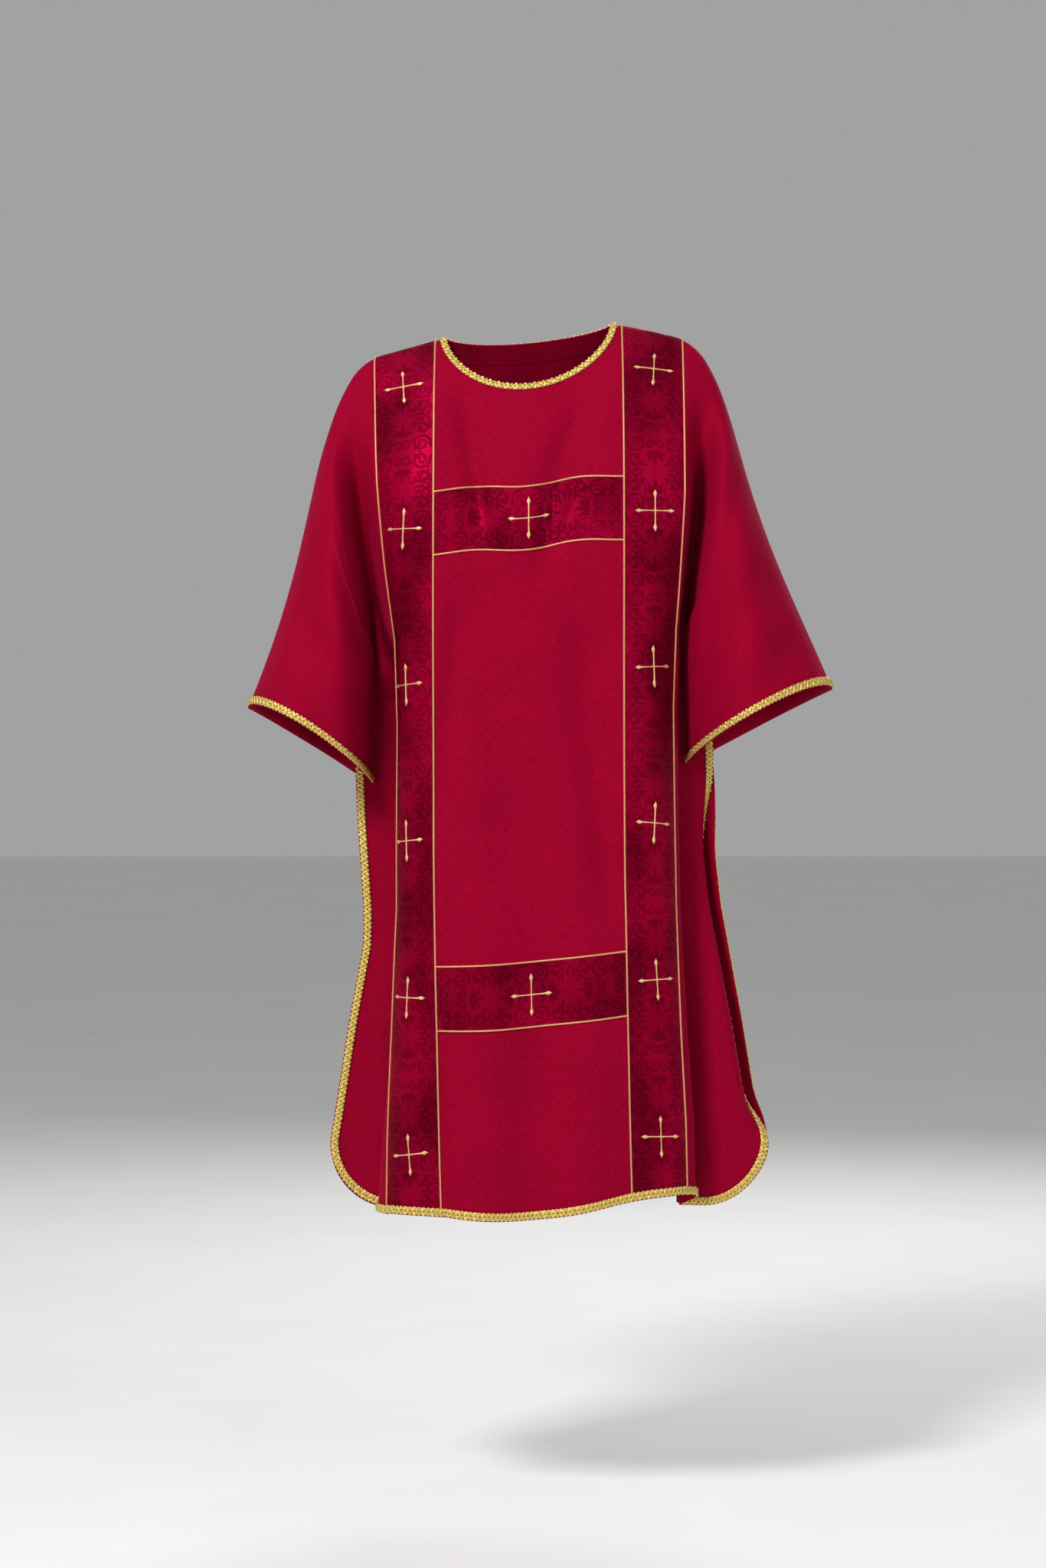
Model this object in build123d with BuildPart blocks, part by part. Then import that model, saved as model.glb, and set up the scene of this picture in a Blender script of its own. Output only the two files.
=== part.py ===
"""Deacon's dalmatic: a T-shaped vestment with wide sleeves, open sides, orphreys and gold braid.

The garment is modelled as it hangs on a wearer. Millimetres, +Z up, the front faces -Y.
The origin lies midway between the two points where the neckline meets the shoulder folds.
A place on the cloth is given by its pattern place: across from the centre line, and down from
the neck points. hang() turns a pattern place into a place in space.
"""
import math
import os

from build123d import *

# flat pattern
NECK_HALF = 106            # half width of the neckline
NECK_DROP = {"front": 100, "back": 24}      # how far the neckline is cut down
FOLD_START = 115           # where the shoulder fold starts to fall
TOP_SLOPE = math.radians(12)                # fall of the shoulder fold in the flat pattern
BOARD_HALF = 200           # half width of the part that hangs flat, to the clavi's outer edges
UNDERARM_ACROSS = 335
SLIT_DOWN = 620            # where the side edges start to run out evenly to the hem
SLIT_RUN = 430
ARMHOLE_DOWN = 400         # where the armhole starts to widen
ARMHOLE_RUN = 200
HEM_HALF = 385
HEM_DOWN = 1158
HEM_RISE = 20              # the hem is cut this much shorter beside the centre
CORNER_R = 90

# trims
CLAVUS_IN, CLAVUS_OUT = 120.5, 197.5
CLAVUS_MIDDLE = 159
CLAVUS_COLUMNS = 4
CORD_ACROSS = {"inner": 119, "outer": 199}
BAND_DOWN = {"upper": 282, "lower": 879}
BAND_HALF = 38.5
BAND_END = 117.2
BAND_COLUMNS, BAND_ROWS = 16, 6
BAND_CORD = 40             # from the middle of a band to its cords
CORD_W = 2.5
CORD_H = 2.2
SATIN_T = 0.9
CROSS_DOWN = 87            # first cross on a clavus
CROSS_PITCH = 195.5
CROSS_COUNT = 6
CROSS_SPAN = 50
CROSS_ARM = 4
CROSS_T = 0.8
CROSS_LIFT = 3.4           # clear of the satin, which curves under the flat plate
BUD = 8                    # lozenge at the end of each arm
BUD_IN = 5                 # from the end of the arm to the middle of the lozenge
BRAID_W = 11.5
BRAID_T = 1.8
NECK_FACETS = 24
FACING_W = 30
FACING_T = 0.8
GAP = 1.3                  # between layers, so that their flat facets stay clear
BRAID_LIFT = 1.8           # the edge braid also crosses the hollow of the pipe fold
CLOTH_T = 2.4              # stand-in thickness of the cloth

FOLD_GAP = 3               # the panels start this far below the shoulder fold

# facets of the panels: rows as shares of the length, columns as places across
PANEL_ROWS = ([0.032 * i for i in range(11)] + [0.36 + 0.022 * i for i in range(5)]
              + [0.49 + 0.07 * i for i in range(7)] + [0.93, 0.948, 0.965, 0.98, 0.991, 0.998])
PANEL_BOARD = [0, 35, 70, 90, 104, 106, 117.5, 120.5, 139.75, 159, 178.25, 197.5, 200]
PANEL_SIDE = [0.08, 0.16, 0.24, 0.31, 0.38, 0.45, 0.53, 0.64, 0.76, 0.88, 1]

# how the garment hangs
SHOULDER_Z = -20           # height of the point where the shoulder fold turns down the arm
CHEST_STEEP = {"front": 48, "back": 42}     # slope of the cloth at the shoulder, degrees
CHEST_REACH = {"front": 360, "back": 380}   # cloth length until it hangs plumb
BELLY, BELLY_TOP, BELLY_RUN = 16, 300, 700
LEAN = 12                  # one shoulder stands higher than the other
SWAY, SWAY_TOP, SWAY_RUN = 9.5, 450, 650    # the skirt hangs a little to one side
TURN_START = 112           # where the clavus starts to turn back
TURN_FADE = 120            # the turn grows over this length below the shoulder
# against drop: turn of the clavus by its outer edge, turn of the pipe fold beside it,
# and heading of the side cloth past the fold, in degrees
TURN = {"left": [(30, 25), (190, 45), (290, 66), (390, 90), (500, 96), (730, 92), (880, 78),
                 (1020, 62), (1130, 53)],
        "right": [(30, 25), (230, 28), (310, 43), (400, 59), (500, 66), (750, 64), (900, 58),
                  (1130, 51)]}
FOLD = {"left": [(380, 95), (450, 172), (600, 172), (750, 160), (900, 158), (1000, 156), (1130, 150)],
        "right": [(380, 65), (450, 185), (572, 185), (640, 160), (750, 150), (900, 140), (1130, 135)]}
FLARE = {"left": [(450, 4), (600, 5), (900, 5), (1130, 8)],
         "right": [(450, 10), (600, 10), (900, 4), (1130, 6)]}
FOLD_TURN, FOLD_RETURN = 26, 40
FOLD_HOLD = {"left": 22, "right": 18}

# sleeve sections, shoulder to cuff: outer end (x, z), inner end (x, z), half depth front to back
SLEEVE = [((221, -46), (207, -400), 92), ((259, -143), (206, -430), 98), ((291, -258), (206, -462), 112),
          ((331, -372), (206, -512), 121), ((372, -476), (206, -572), 127)]
SLEEVE_FACETS = 32
SLEEVE_SPREAD = 15         # the higher sleeve swings out, the lower one in


def between(rows, at):
    """Value at a place in a short table of (place, value)."""
    if at <= rows[0][0]:
        return rows[0][1]
    for (a, low), (b, high) in zip(rows[:-1], rows[1:]):
        if at <= b:
            return low + (high - low) * (at - a) / (b - a)
    return rows[-1][1]


def ease(t):
    t = min(max(t, 0), 1)
    return t * t * (3 - 2 * t)


def fold_down(across):
    """How far down the flat pattern the shoulder fold lies."""
    return max(abs(across) - FOLD_START, 0) * math.tan(TOP_SLOPE)


def hem_down(across):
    return HEM_DOWN - HEM_RISE * math.sin(math.pi / 2 * min(abs(across) / BOARD_HALF, 1)) ** 2


def thread(length, side):
    """How far out and how far down a thread of this length reaches from the shoulder."""
    out = down = 0
    steps = 40
    reach = CHEST_REACH[side]
    curved = min(length, reach)
    for i in range(steps):
        at = curved * (i + 0.5) / steps
        slope = math.radians(CHEST_STEEP[side]) * (1 - at / reach) ** 1.5
        out += math.sin(slope) * curved / steps
        down += math.cos(slope) * curved / steps
    return out, down + length - curved


def section(across, hand, drop):
    """Width reached and distance turned back when the cloth is followed out from the centre."""
    turn = math.radians(between(TURN[hand], drop))
    fold = math.radians(between(FOLD[hand], drop))
    flare = math.radians(between(FLARE[hand], drop))
    steps = 60
    x = back = 0
    for i in range(steps):
        at = across * (i + 0.5) / steps
        heading = turn * min(max((at - TURN_START) / (BOARD_HALF - TURN_START), 0), 1)
        heading += (fold - turn) * ease((at - BOARD_HALF) / FOLD_TURN)
        heading += (flare - fold) * ease((at - BOARD_HALF - FOLD_TURN - FOLD_HOLD[hand]) / FOLD_RETURN)
        x += math.cos(heading) * across / steps
        back += math.sin(heading) * across / steps
    return x, back


def hang(across, down, side):
    """Place in space of a pattern place on the front or back of the body."""
    hand = "left" if across < 0 else "right"
    wide = abs(across)
    held = min(wide, BOARD_HALF)
    length = down - fold_down(across)
    out, drop = thread(length, side)
    shoulder = SHOULDER_Z * max(held - FOLD_START, 0) / (BOARD_HALF - FOLD_START)
    z = shoulder - drop - (fold_down(wide) - fold_down(held))
    x, back = section(wide, hand, -z)
    forward = out + BELLY * ease((-z - BELLY_TOP) / BELLY_RUN) - back * ease(length / TURN_FADE)
    x = math.copysign(x, across) + SWAY * max((-z - SWAY_TOP) / SWAY_RUN, 0) ** 2
    z += LEAN * math.sin(math.pi / 2 * min(max(x / BOARD_HALF, -1), 1))
    return Vector(x, -forward if side == "front" else forward, z)


def lifted(across, down, side, lift):
    """As hang(), raised off the cloth, away from the wearer."""
    step = 1
    along = hang(across + step, down, side) - hang(across - step, down, side)
    fall = hang(across, down + step, side) - hang(across, down - step, side)
    normal = along.cross(fall) if side == "back" else fall.cross(along)
    return hang(across, down, side) + normal.normalized() * lift


def skin(rows, flip):
    """Triangles of a grid of points, seen from the side that the winding faces."""
    triangles = []
    for upper, lower in zip(rows[:-1], rows[1:]):
        for i in range(len(upper) - 1):
            cut = [(upper[i], lower[i], lower[i + 1]), (upper[i], lower[i + 1], upper[i + 1])]
            triangles += [corners[::-1] for corners in cut] if flip else cut
    return triangles


def rim(high, low):
    """Triangles of the wall between the borders of two grids."""
    def border(rows):
        right = [row[-1] for row in rows[1:-1]]
        left = [row[0] for row in rows[1:-1]]
        return rows[0] + right + rows[-1][::-1] + left[::-1]
    top, base = border(high), border(low)
    triangles = []
    for i in range(len(top)):
        j = (i + 1) % len(top)
        triangles.append((top[i], top[j], base[j]))
        triangles.append((top[i], base[j], base[i]))
    return triangles


def sheet(places, side, lift, thickness):
    """Closed solid of a patch of cloth, in flat facets. places is a grid of (across, down)."""
    low = [[lifted(a, d, side, lift) for a, d in row] for row in places]
    high = [[lifted(a, d, side, lift + thickness) for a, d in row] for row in places]
    mirrored = (places[0][-1][0] > places[0][0][0]) != (side == "front")
    triangles = skin(high, mirrored) + skin(low, not mirrored)
    walls = rim(high, low)
    if mirrored:
        walls = [corners[::-1] for corners in walls]
    faces = [Face(Wire.make_polygon(corners)) for corners in triangles + walls]
    return Solid(Shell(faces))


def level_grid(top, bottom, rows):
    """Pattern places of a strip that runs level between the clavi."""
    places = []
    for j in range(rows + 1):
        down = top + (bottom - top) * j / rows
        places.append([(BAND_END * (2 * i / BAND_COLUMNS - 1), down) for i in range(BAND_COLUMNS + 1)])
    return places


def long_grid(a0, a1, columns):
    """A patch that runs the length of a panel down to the edge braid, on the panel's own rows."""
    places = []
    for share in PANEL_ROWS[:-2] + [1]:
        row = []
        for i in range(columns + 1):
            a = a0 + (a1 - a0) * i / columns
            top = fold_down(a) + FOLD_GAP
            end = hem_down(a) - BRAID_W - 1
            row.append((a, min(top + (hem_down(a) - top) * share, end)))
        places.append(row)
    return places


def strip(path, width):
    """Pattern places of a ribbon whose outer edge follows path, laid to the left of it."""
    places = []
    last = len(path) - 1
    for i, (a, d) in enumerate(path):
        a0, d0 = path[max(i - 1, 0)]
        a1, d1 = path[min(i + 1, last)]
        size = math.hypot(a1 - a0, d1 - d0)
        na, nd = (d1 - d0) / size, -(a1 - a0) / size
        places.append([(a + na * width * k / 2, d + nd * width * k / 2) for k in range(3)])
    return places


def edge_path():
    """The slit and hem edge of a panel, from the left underarm round to the right one."""
    right = [(UNDERARM_ACROSS + 2, SLIT_DOWN + 2)]
    side_down = hem_down(HEM_HALF)
    start = side_down - CORNER_R
    for i in range(1, 9):
        share = i / 9
        a = UNDERARM_ACROSS + (HEM_HALF - UNDERARM_ACROSS) * share
        right.append((a, SLIT_DOWN + (start - SLIT_DOWN) * share))
    for i in range(9):
        angle = math.radians(90 * i / 8)
        right.append((HEM_HALF - CORNER_R * (1 - math.cos(angle)), start + CORNER_R * math.sin(angle)))
    for i in range(1, 9):
        a = (HEM_HALF - CORNER_R) * (1 - i / 9)
        right.append((a, hem_down(a)))
    middle = [(0, hem_down(0))]
    return right + middle + [(-a, d) for a, d in reversed(right)]


def neck_path(side):
    """The neck edge in the pattern, from one neck point round to the other."""
    path = []
    for i in range(NECK_FACETS + 1):
        angle = math.radians(4 + 172 * i / NECK_FACETS)
        path.append((-NECK_HALF * math.cos(angle), NECK_DROP[side] * math.sin(angle)))
    return path


def save(built, name):
    built.part.label = name
    export_step(built.part, f"parts/{name}.step")


def neck_down(across):
    """Top edge of a panel: the neckline inside, the shoulder fold outside."""
    return fold_down(across) + FOLD_GAP


def side_half(level):
    """Half width of a panel at a level of its side edge: armhole, side, rounded corner."""
    armhole = BOARD_HALF + 4
    share = min(max((level - SLIT_DOWN) / SLIT_RUN, 0), 1)
    straight = UNDERARM_ACROSS + (HEM_HALF - UNDERARM_ACROSS) * share
    half = armhole + (straight - armhole) * ease((level - ARMHOLE_DOWN) / ARMHOLE_RUN)
    below = level - (hem_down(HEM_HALF) - CORNER_R)
    if below > 0:
        half = min(half, HEM_HALF - CORNER_R + math.sqrt(max(CORNER_R ** 2 - below ** 2, 0)))
    return half


def panel_places(side):
    """The body of the garment: the flat board, and below the armhole the sides too."""
    places = []
    for share in PANEL_ROWS:
        half = side_half(share * hem_down(HEM_HALF))
        right = PANEL_BOARD + [BOARD_HALF + t * (half - BOARD_HALF) for t in PANEL_SIDE]
        row = []
        for a in [-a for a in reversed(right[1:])] + right:
            top = neck_down(a)
            if abs(a) < NECK_HALF:
                top = NECK_DROP[side] * math.sqrt(1 - (a / NECK_HALF) ** 2) + FOLD_GAP
            row.append((a, top + (hem_down(a) - top) * share))
        places.append(row)
    return places


def cross_plate(across, down, side):
    """One embroidered cross: a thin plate on the satin, square to the cloth at its middle."""
    middle = lifted(across, down, side, CROSS_LIFT)
    normal = (lifted(across, down, side, CROSS_LIFT + 1) - middle).normalized()
    along = (hang(across + 1, down, side) - hang(across - 1, down, side)).normalized()
    with BuildSketch(Plane(origin=middle, x_dir=along, z_dir=normal)) as outline:
        Rectangle(CROSS_SPAN, CROSS_ARM)
        Rectangle(CROSS_ARM, CROSS_SPAN)
        with PolarLocations(CROSS_SPAN / 2 - BUD_IN, 4):
            Rectangle(BUD, BUD, rotation=45)
    return outline.sketch


def make_panel(side):
    with BuildPart() as panel:
        add(sheet(panel_places(side), side, -CLOTH_T, CLOTH_T))
    save(panel, f"{side}_panel")


def make_clavus(side, hand, sign):
    """A vertical strip with the cords on its edges and its crosses."""
    with BuildPart() as clavus:
        ends = sorted((sign * CLAVUS_IN, sign * CLAVUS_OUT))
        add(sheet(long_grid(*ends, CLAVUS_COLUMNS), side, GAP, SATIN_T))
    save(clavus, f"{side}_{hand}_clavus")
    for edge, a in CORD_ACROSS.items():
        with BuildPart() as cord:
            ends = sorted((sign * (a - CORD_W / 2), sign * (a + CORD_W / 2)))
            add(sheet(long_grid(*ends, 1), side, GAP, CORD_H))
        save(cord, f"{side}_{hand}_{edge}_cord")
    with BuildPart() as crosses:
        for i in range(CROSS_COUNT):
            plate = cross_plate(sign * CLAVUS_MIDDLE, CROSS_DOWN + CROSS_PITCH * i, side)
            extrude(plate, CROSS_T)
    save(crosses, f"{side}_{hand}_crosses")


def make_band(side, level, middle):
    """A strip between the clavi with the cords on its edges and its cross."""
    with BuildPart() as band:
        places = level_grid(middle - BAND_HALF, middle + BAND_HALF, BAND_ROWS)
        add(sheet(places, side, GAP, SATIN_T))
    save(band, f"{side}_{level}_band")
    for edge, d in (("top", middle - BAND_CORD), ("bottom", middle + BAND_CORD)):
        with BuildPart() as cord:
            add(sheet(level_grid(d - CORD_W / 2, d + CORD_W / 2, 1), side, GAP, CORD_H))
        save(cord, f"{side}_{level}_{edge}_cord")
    with BuildPart() as cross:
        extrude(cross_plate(0, middle, side), CROSS_T)
    save(cross, f"{side}_{level}_cross")


def make_edge_braid(side):
    with BuildPart() as braid:
        add(sheet(strip(edge_path(), BRAID_W), side, BRAID_LIFT, BRAID_T))
    save(braid, f"{side}_edge_braid")


def make_neck():
    with BuildPart() as braid:
        for side in ("front", "back"):
            add(sheet(strip(neck_path(side), BRAID_W), side, GAP, BRAID_T))
    save(braid, "neck_braid")
    with BuildPart() as facing:
        for side in ("front", "back"):
            add(sheet(strip(neck_path(side), FACING_W), side, -CLOTH_T - BRAID_LIFT - FACING_T, FACING_T))
    save(facing, "neck_facing")


def sleeve_ring(hand, station, inset):
    """Oval section of a sleeve at a station, whole or between two, with the wall set in."""
    sign = -1 if hand == "left" else 1
    low = min(int(station), len(SLEEVE) - 2)
    part = station - low
    (ox0, oz0), (ix0, iz0), depth0 = SLEEVE[low]
    (ox1, oz1), (ix1, iz1), depth1 = SLEEVE[low + 1]
    spread = sign * SLEEVE_SPREAD * station / (len(SLEEVE) - 1)
    lean = sign * LEAN
    outer = Vector(sign * (ox0 + (ox1 - ox0) * part + spread), 0, oz0 + (oz1 - oz0) * part + lean)
    inner = Vector(sign * (ix0 + (ix1 - ix0) * part), 0, iz0 + (iz1 - iz0) * part + lean)
    middle = (outer + inner) * 0.5
    half = (outer - inner).length / 2
    along = (outer - inner).normalized()
    depth = depth0 + (depth1 - depth0) * part
    ring = []
    for i in range(SLEEVE_FACETS):
        angle = 2 * math.pi * i / SLEEVE_FACETS
        across = along * ((half - inset) * math.cos(angle))
        ring.append(middle + across + Vector(0, sign * (depth - inset) * math.sin(angle), 0))
    return ring + ring[:1]


def tube(hand, stations, outside, inside):
    """Hollow oval tube through stations of a sleeve. The insets are measured from the cloth."""
    outer = [sleeve_ring(hand, s, outside) for s in stations]
    inner = [sleeve_ring(hand, s, inside) for s in stations]
    triangles = skin(outer, True) + skin(inner, False)
    triangles += skin([inner[0], outer[0]], True) + skin([outer[-1], inner[-1]], True)
    return Solid(Shell([Face(Wire.make_polygon(corners)) for corners in triangles]))


def make_sleeve(hand):
    last = len(SLEEVE) - 1
    with BuildPart() as sleeve:
        add(tube(hand, range(last + 1), 0, CLOTH_T))
    save(sleeve, f"{hand}_sleeve")
    braid_share = BRAID_W / 115
    with BuildPart() as braid:
        add(tube(hand, (last - braid_share, last), -GAP - BRAID_T, -GAP))
    save(braid, f"{hand}_cuff_braid")


os.makedirs("parts", exist_ok=True)
for face in ("front", "back"):
    make_panel(face)
    for hand, sign in (("left", -1), ("right", 1)):
        make_clavus(face, hand, sign)
    for level, middle in BAND_DOWN.items():
        make_band(face, level, middle)
    make_edge_braid(face)
make_neck()
for hand in ("left", "right"):
    make_sleeve(hand)
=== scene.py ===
"""Deacon's dalmatic in crimson cloth, with damask orphreys, embroidered crosses and gold braid.

Every piece is laid out on the flat pattern, in metres: u across from the centre line, v down from
the neck points. side is -1 for the front and +1 for the back. place() hangs a pattern place.
"""
import math

import bmesh
import bpy
import numpy as np
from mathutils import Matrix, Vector


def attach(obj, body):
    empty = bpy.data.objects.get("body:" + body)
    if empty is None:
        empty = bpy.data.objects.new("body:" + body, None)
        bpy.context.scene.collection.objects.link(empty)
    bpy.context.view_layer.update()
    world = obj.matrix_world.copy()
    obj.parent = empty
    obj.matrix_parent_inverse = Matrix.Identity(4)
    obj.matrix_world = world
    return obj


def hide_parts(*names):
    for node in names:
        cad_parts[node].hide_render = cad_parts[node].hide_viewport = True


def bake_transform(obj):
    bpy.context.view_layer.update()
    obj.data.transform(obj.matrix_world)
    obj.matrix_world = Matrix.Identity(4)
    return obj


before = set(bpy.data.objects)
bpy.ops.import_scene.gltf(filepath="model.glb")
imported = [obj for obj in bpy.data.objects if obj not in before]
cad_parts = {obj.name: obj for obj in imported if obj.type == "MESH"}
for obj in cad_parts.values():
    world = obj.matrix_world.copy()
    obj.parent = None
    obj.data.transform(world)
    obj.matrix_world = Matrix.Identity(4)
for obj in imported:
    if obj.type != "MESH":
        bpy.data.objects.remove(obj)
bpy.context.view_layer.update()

FRONT, BACK = -1, 1

# flat pattern
NECK_HALF = 0.104          # half width of the neckline
NECK_DROP = {FRONT: 0.100, BACK: 0.022}     # how far the neckline is cut down
FOLD_TOP = 0.115           # where the shoulder fold starts to fall
TOP_SLOPE = math.radians(12)
TOP_RUN = 0.578            # from there along the fold to the cuff
CUFF = FOLD_TOP + TOP_RUN * math.cos(TOP_SLOPE)
SLEEVE_DEPTH = 0.36
UNDERARM = (0.335, 0.490)
HEM_HALF = 0.385
HEM_V = 1.158
HEM_RISE = 0.020           # the hem is cut this much shorter beside the centre
CORNER_R = 0.090
BOARD = 0.200              # half width of the part that hangs flat, to the clavi's outer edges
ARMHOLE_LEVEL = 0.36       # where the armhole starts to widen

# trims
CLAVUS_MIDDLE, CLAVUS_HALF = 0.159, 0.040
BANDS = {"upper": 0.2795, "lower": 0.8725}
BAND_END, BAND_HALF = CLAVUS_MIDDLE - CLAVUS_HALF, 0.040
CROSS_TOP, CROSS_PITCH, CROSS_COUNT = 0.087, 0.1955, 6
CROSS_HALF = 0.0265
CROSS_TILT = 0.07          # most that a cross is out of true, radians
BRAID_W, NECK_BRAID_W = 0.0118, 0.0102
BRAID_PITCH, BRAID_STEP = 0.0112, 0.0011
# each strand of the gimp: inset from the edge of its swing, radius, lag in radians
GIMP_STRANDS = ((0.0013, 0.00125, 0.0), (0.0034, 0.00115, 0.525))
GIMP_LIFT, GIMP_CROSSING = 0.0018, 0.0007
CORD_R, CORD_PITCH, CORD_STEP = 0.0014, 0.0052, 0.0009
CLOTH_T = 0.0012
FACING_W = 0.030
SATIN_LIFT, CORD_LIFT, FACING_LIFT = 0.0005, 0.0011, -CLOTH_T - 0.0004

# how it hangs. Tables are (distance along or drop, heading in degrees); -1 is the left side of the
# picture and 1 the right. HEADING is the shoulder fold's, down the arm. TURN is the clavus's by its
# outer edge, FOLD is the pipe fold's beside it, and FLARE is the side cloth's past the fold.
HEADING = [(0.0, 12), (0.19, 14), (0.215, 38), (0.245, 60), (0.30, 71), (0.38, 76), (0.46, 74),
           (0.55, 70), (0.62, 68), (0.70, 67)]
TURN = {-1: [(0.03, 25), (0.19, 45), (0.29, 66), (0.39, 90), (0.50, 96), (0.73, 92), (0.88, 78),
             (1.02, 62), (1.13, 53)],
        1: [(0.03, 25), (0.23, 28), (0.31, 43), (0.40, 59), (0.50, 66), (0.75, 64), (0.90, 58),
            (1.02, 50), (1.13, 51)]}
FOLD = {-1: [(0.45, 150), (0.60, 150), (0.75, 160), (0.90, 158), (1.00, 156), (1.13, 150)],
        1: [(0.45, 165), (0.572, 165), (0.64, 155), (0.75, 150), (0.90, 140), (1.13, 135)]}
FLARE = {-1: [(0.45, 4), (0.60, 5), (0.90, 5), (1.13, 8)],
         1: [(0.45, 6), (0.60, 0), (0.90, -10), (1.13, -4)]}
TURN_START, TURN_FADE = 0.112, 0.12     # across, and down from the shoulder
# where the cloth starts to fold back, how long it runs back, and the widths of its two bends
FOLD_START = {-1: [(0.88, 0.202), (1.08, 0.214)], 1: [(0.58, 0.211), (0.80, 0.211)]}
FOLD_TURN, FOLD_RETURN = 0.026, 0.040
FOLD_HOLD = {-1: [(0.50, 0.002), (0.78, 0.021), (1.08, 0.017)], 1: [(0.50, 0.004), (0.75, 0.008)]}
EDGE_ROLL = {FRONT: 125, BACK: 70}     # the right edges curl into the slit, degrees
RIGHT_LONGER = 0.020       # the hem hangs lower past the right pipe fold
LEAN = 0.012               # one shoulder stands higher than the other
STEEP = {FRONT: (48, 0.36), BACK: (42, 0.38)}    # slope at the shoulder, length until it hangs plumb
RIDGE_R = 0.006            # the shoulder fold is rounded
# a span is (start, run): where a change starts, and the distance it takes
EDGE_SPAN = (0.49, 0.56)   # the side edges run out to the hem
ROLL_ON, ROLL_OFF, ROLL_ACROSS = (0.52, 0.18), (0.98, 0.10), (-0.042, 0.034)
SWAY, SWAY_SPAN = 0.0095, (0.45, 0.65)
BELLY, BELLY_SPAN = 0.016, (0.3, 0.7)
# the underarm seam and the roundness of the sleeve, against share of the way to the cuff
SEAM_X = [(0.0, 0.203), (0.12, 0.198), (0.25, 0.196), (0.6, 0.196), (1.0, 0.199)]
SEAM_Z = [(0.0, -0.440), (0.12, -0.405), (0.25, -0.400), (0.6, -0.485), (1.0, -0.572)]
BULGE = {FRONT: [(0.0, 0.095), (0.3, 0.112), (1.0, 0.127)],
         BACK: [(0.0, 0.100), (0.3, 0.118), (1.0, 0.127)]}
CUFF_LIFT = 0.024
CUFF_SPREAD = 0.015
RIB_ROUNDS = 12            # tries that find the rib a pattern place lies on
RIB_EASE = 0.8             # how far the ribs stay out before they run in to the seam
# the armpit takes up cloth in a valley; the shoulder fold shapes only the cloth near it
VALLEY, VALLEY_SPAN = 0.072, (0.03, 0.20)
RIDGE_FADE = 0.16
# degrees about the underarm corner over which the sleeve's cloth becomes the body's, and back
SIDE_ON, SIDE_OFF = (-60, 75), (110, 60)
SLEEVE_FADE, SLEEVE_END = 0.15, 0.5     # the sleeves don't sway with the skirt
SEWN_R = 0.06              # front and back are drawn together this near the underarm corner

# soft folds: height and spacing of the waves, and dents as a line of (v, u), half width, depth,
# and the levels between which they lie
DRAPE_WAVE, SKIRT_WAVE, SLEEVE_WAVE = (0.0022, 0.115), (0.0050, 0.128), (0.0055, 0.20)
RUMPLE = (0.0016, 0.19, 0.21)
DENTS = (([(0.10, -0.082), (0.28, -0.060)], 0.014, 0.0095, 0.08, 0.24),
         ([(0.12, 0.075), (0.22, 0.040), (0.34, 0.020)], 0.019, 0.0100, 0.10, 0.30),
         ([(0.30, -0.075), (0.60, -0.110)], 0.018, 0.0080, 0.34, 0.60),
         ([(0.60, -0.112), (1.16, -0.114)], 0.007, 0.0040, 0.84, 1.20),
         ([(0.34, 0.060), (0.75, 0.096)], 0.022, 0.0090, 0.40, 0.72))
# ripples of the front bands: level and reach of each, and their heights
CHEST_RIPPLE, KNEE_RIPPLE, RIPPLE_HALF = (0.28, 0.11), (0.90, 0.14), 0.125
CHEST_RISE, CHEST_SWING, KNEE_SAG = 0.0015, 0.0045, 0.005

GRID = 0.004               # spacing of the grid on which the drape is worked out
U_MAX, V_MIN, V_MAX = 0.76, -0.04, 1.20


def table(rows, x):
    """Value at x in a short table of (place, value)."""
    return np.interp(x, [row[0] for row in rows], [row[1] for row in rows])


def by_hand(tables, left, x):
    """The left or the right table's value."""
    return np.where(left, table(tables[-1], x), table(tables[1], x))


def smooth(x):
    """0 to 1 with level ends."""
    x = np.clip(x, 0, 1)
    return x * x * (3 - 2 * x)


def grow(x, span):
    """0 up to the start of a span, easing to 1 at its end."""
    return smooth((x - span[0]) / span[1])


def wave(turns):
    """Sine of a number of whole turns."""
    return np.sin(2 * np.pi * turns)


def unit(vectors):
    """The vectors, at length 1."""
    return vectors / np.maximum(np.linalg.norm(vectors, axis=-1, keepdims=True), 1e-12)


def top_v(u):
    """The shoulder fold in the pattern."""
    return np.clip(np.abs(u) - FOLD_TOP, 0, None) * math.tan(TOP_SLOPE)


def hem_v(u):
    """The hem in the pattern."""
    return HEM_V - HEM_RISE * np.sin(np.pi / 2 * np.clip(np.abs(u) / BOARD, 0, 1)) ** 2


def fold_line():
    """The shoulder fold in space: distance along it, x and z."""
    s = np.linspace(0, 0.72, 500)
    heading = np.radians(table(HEADING, s))
    middle = (heading[1:] + heading[:-1]) / 2
    x = np.concatenate([[0], np.cumsum(np.cos(middle) * s[1])])
    z = -np.concatenate([[0], np.cumsum(np.sin(middle) * s[1])])
    return s, x, z - np.interp(FOLD_TOP, s, z)


FOLD_LINE = fold_line()


def fold_place(q):
    """x and z of the shoulder fold, a distance q across the pattern."""
    s, x, z = FOLD_LINE
    along = np.where(q > FOLD_TOP, FOLD_TOP + (q - FOLD_TOP) / math.cos(TOP_SLOPE), q)
    return np.interp(along, s, x), np.where(q < FOLD_TOP, 0, np.interp(along, s, z))


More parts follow.
